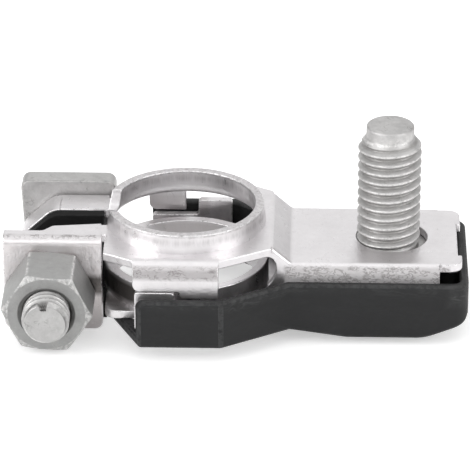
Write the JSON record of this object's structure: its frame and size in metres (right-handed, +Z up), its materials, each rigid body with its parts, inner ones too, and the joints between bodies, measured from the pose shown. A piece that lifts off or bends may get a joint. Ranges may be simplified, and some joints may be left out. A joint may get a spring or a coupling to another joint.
{
  "type": "battery terminal clamp",
  "caption": "Stamped two-plate clamp for a battery post, with a clamping bolt across its ears, a threaded cable stud on its tail and a plastic tray underneath.",
  "frame": {"origin": "on the axis of the battery post's bore, level with the top rim of the upper collar", "axes": "+Z up along the post and the cable stud, +X from the post towards the cable stud, +Y towards the clamping bolt's head"},
  "size_m": [0.0586, 0.0312, 0.0262],
  "materials": {
    "tinned_plate": "bright tin plating over stamped sheet, soft sheen",
    "stud_steel": "plated steel thread, satin",
    "bolt_steel": "dull plated steel",
    "nut_steel": "dull plated steel",
    "black_plastic": "moulded, fine matt"
  },
  "bodies": {
    "clamp": {"upper_clamp_plate": "tinned_plate", "lower_clamp_plate": "tinned_plate", "insulating_tray": "black_plastic", "cable_stud": "stud_steel", "ear_spacer": "black_plastic"},
    "bolt": {"t_bolt": "bolt_steel"},
    "nut": {"clamp_nut": "nut_steel"}
  },
  "joints": [
    {"name": "bolt_travel", "type": "slide", "parent": "clamp", "child": "bolt", "axis": [0, 1, 0], "range_m": [0, 0.0025]},
    {"name": "nut_turn", "type": "hinge", "parent": "clamp", "child": "nut", "pos_m": [-0.0169, -0.0095, -0.00933], "axis": [0, -1, 0], "range_deg": [0, 900]}
  ],
  "couplings": [
    {"joint": "nut_turn", "follows": "bolt_travel", "rad_per_m": 6283.2}
  ]
}
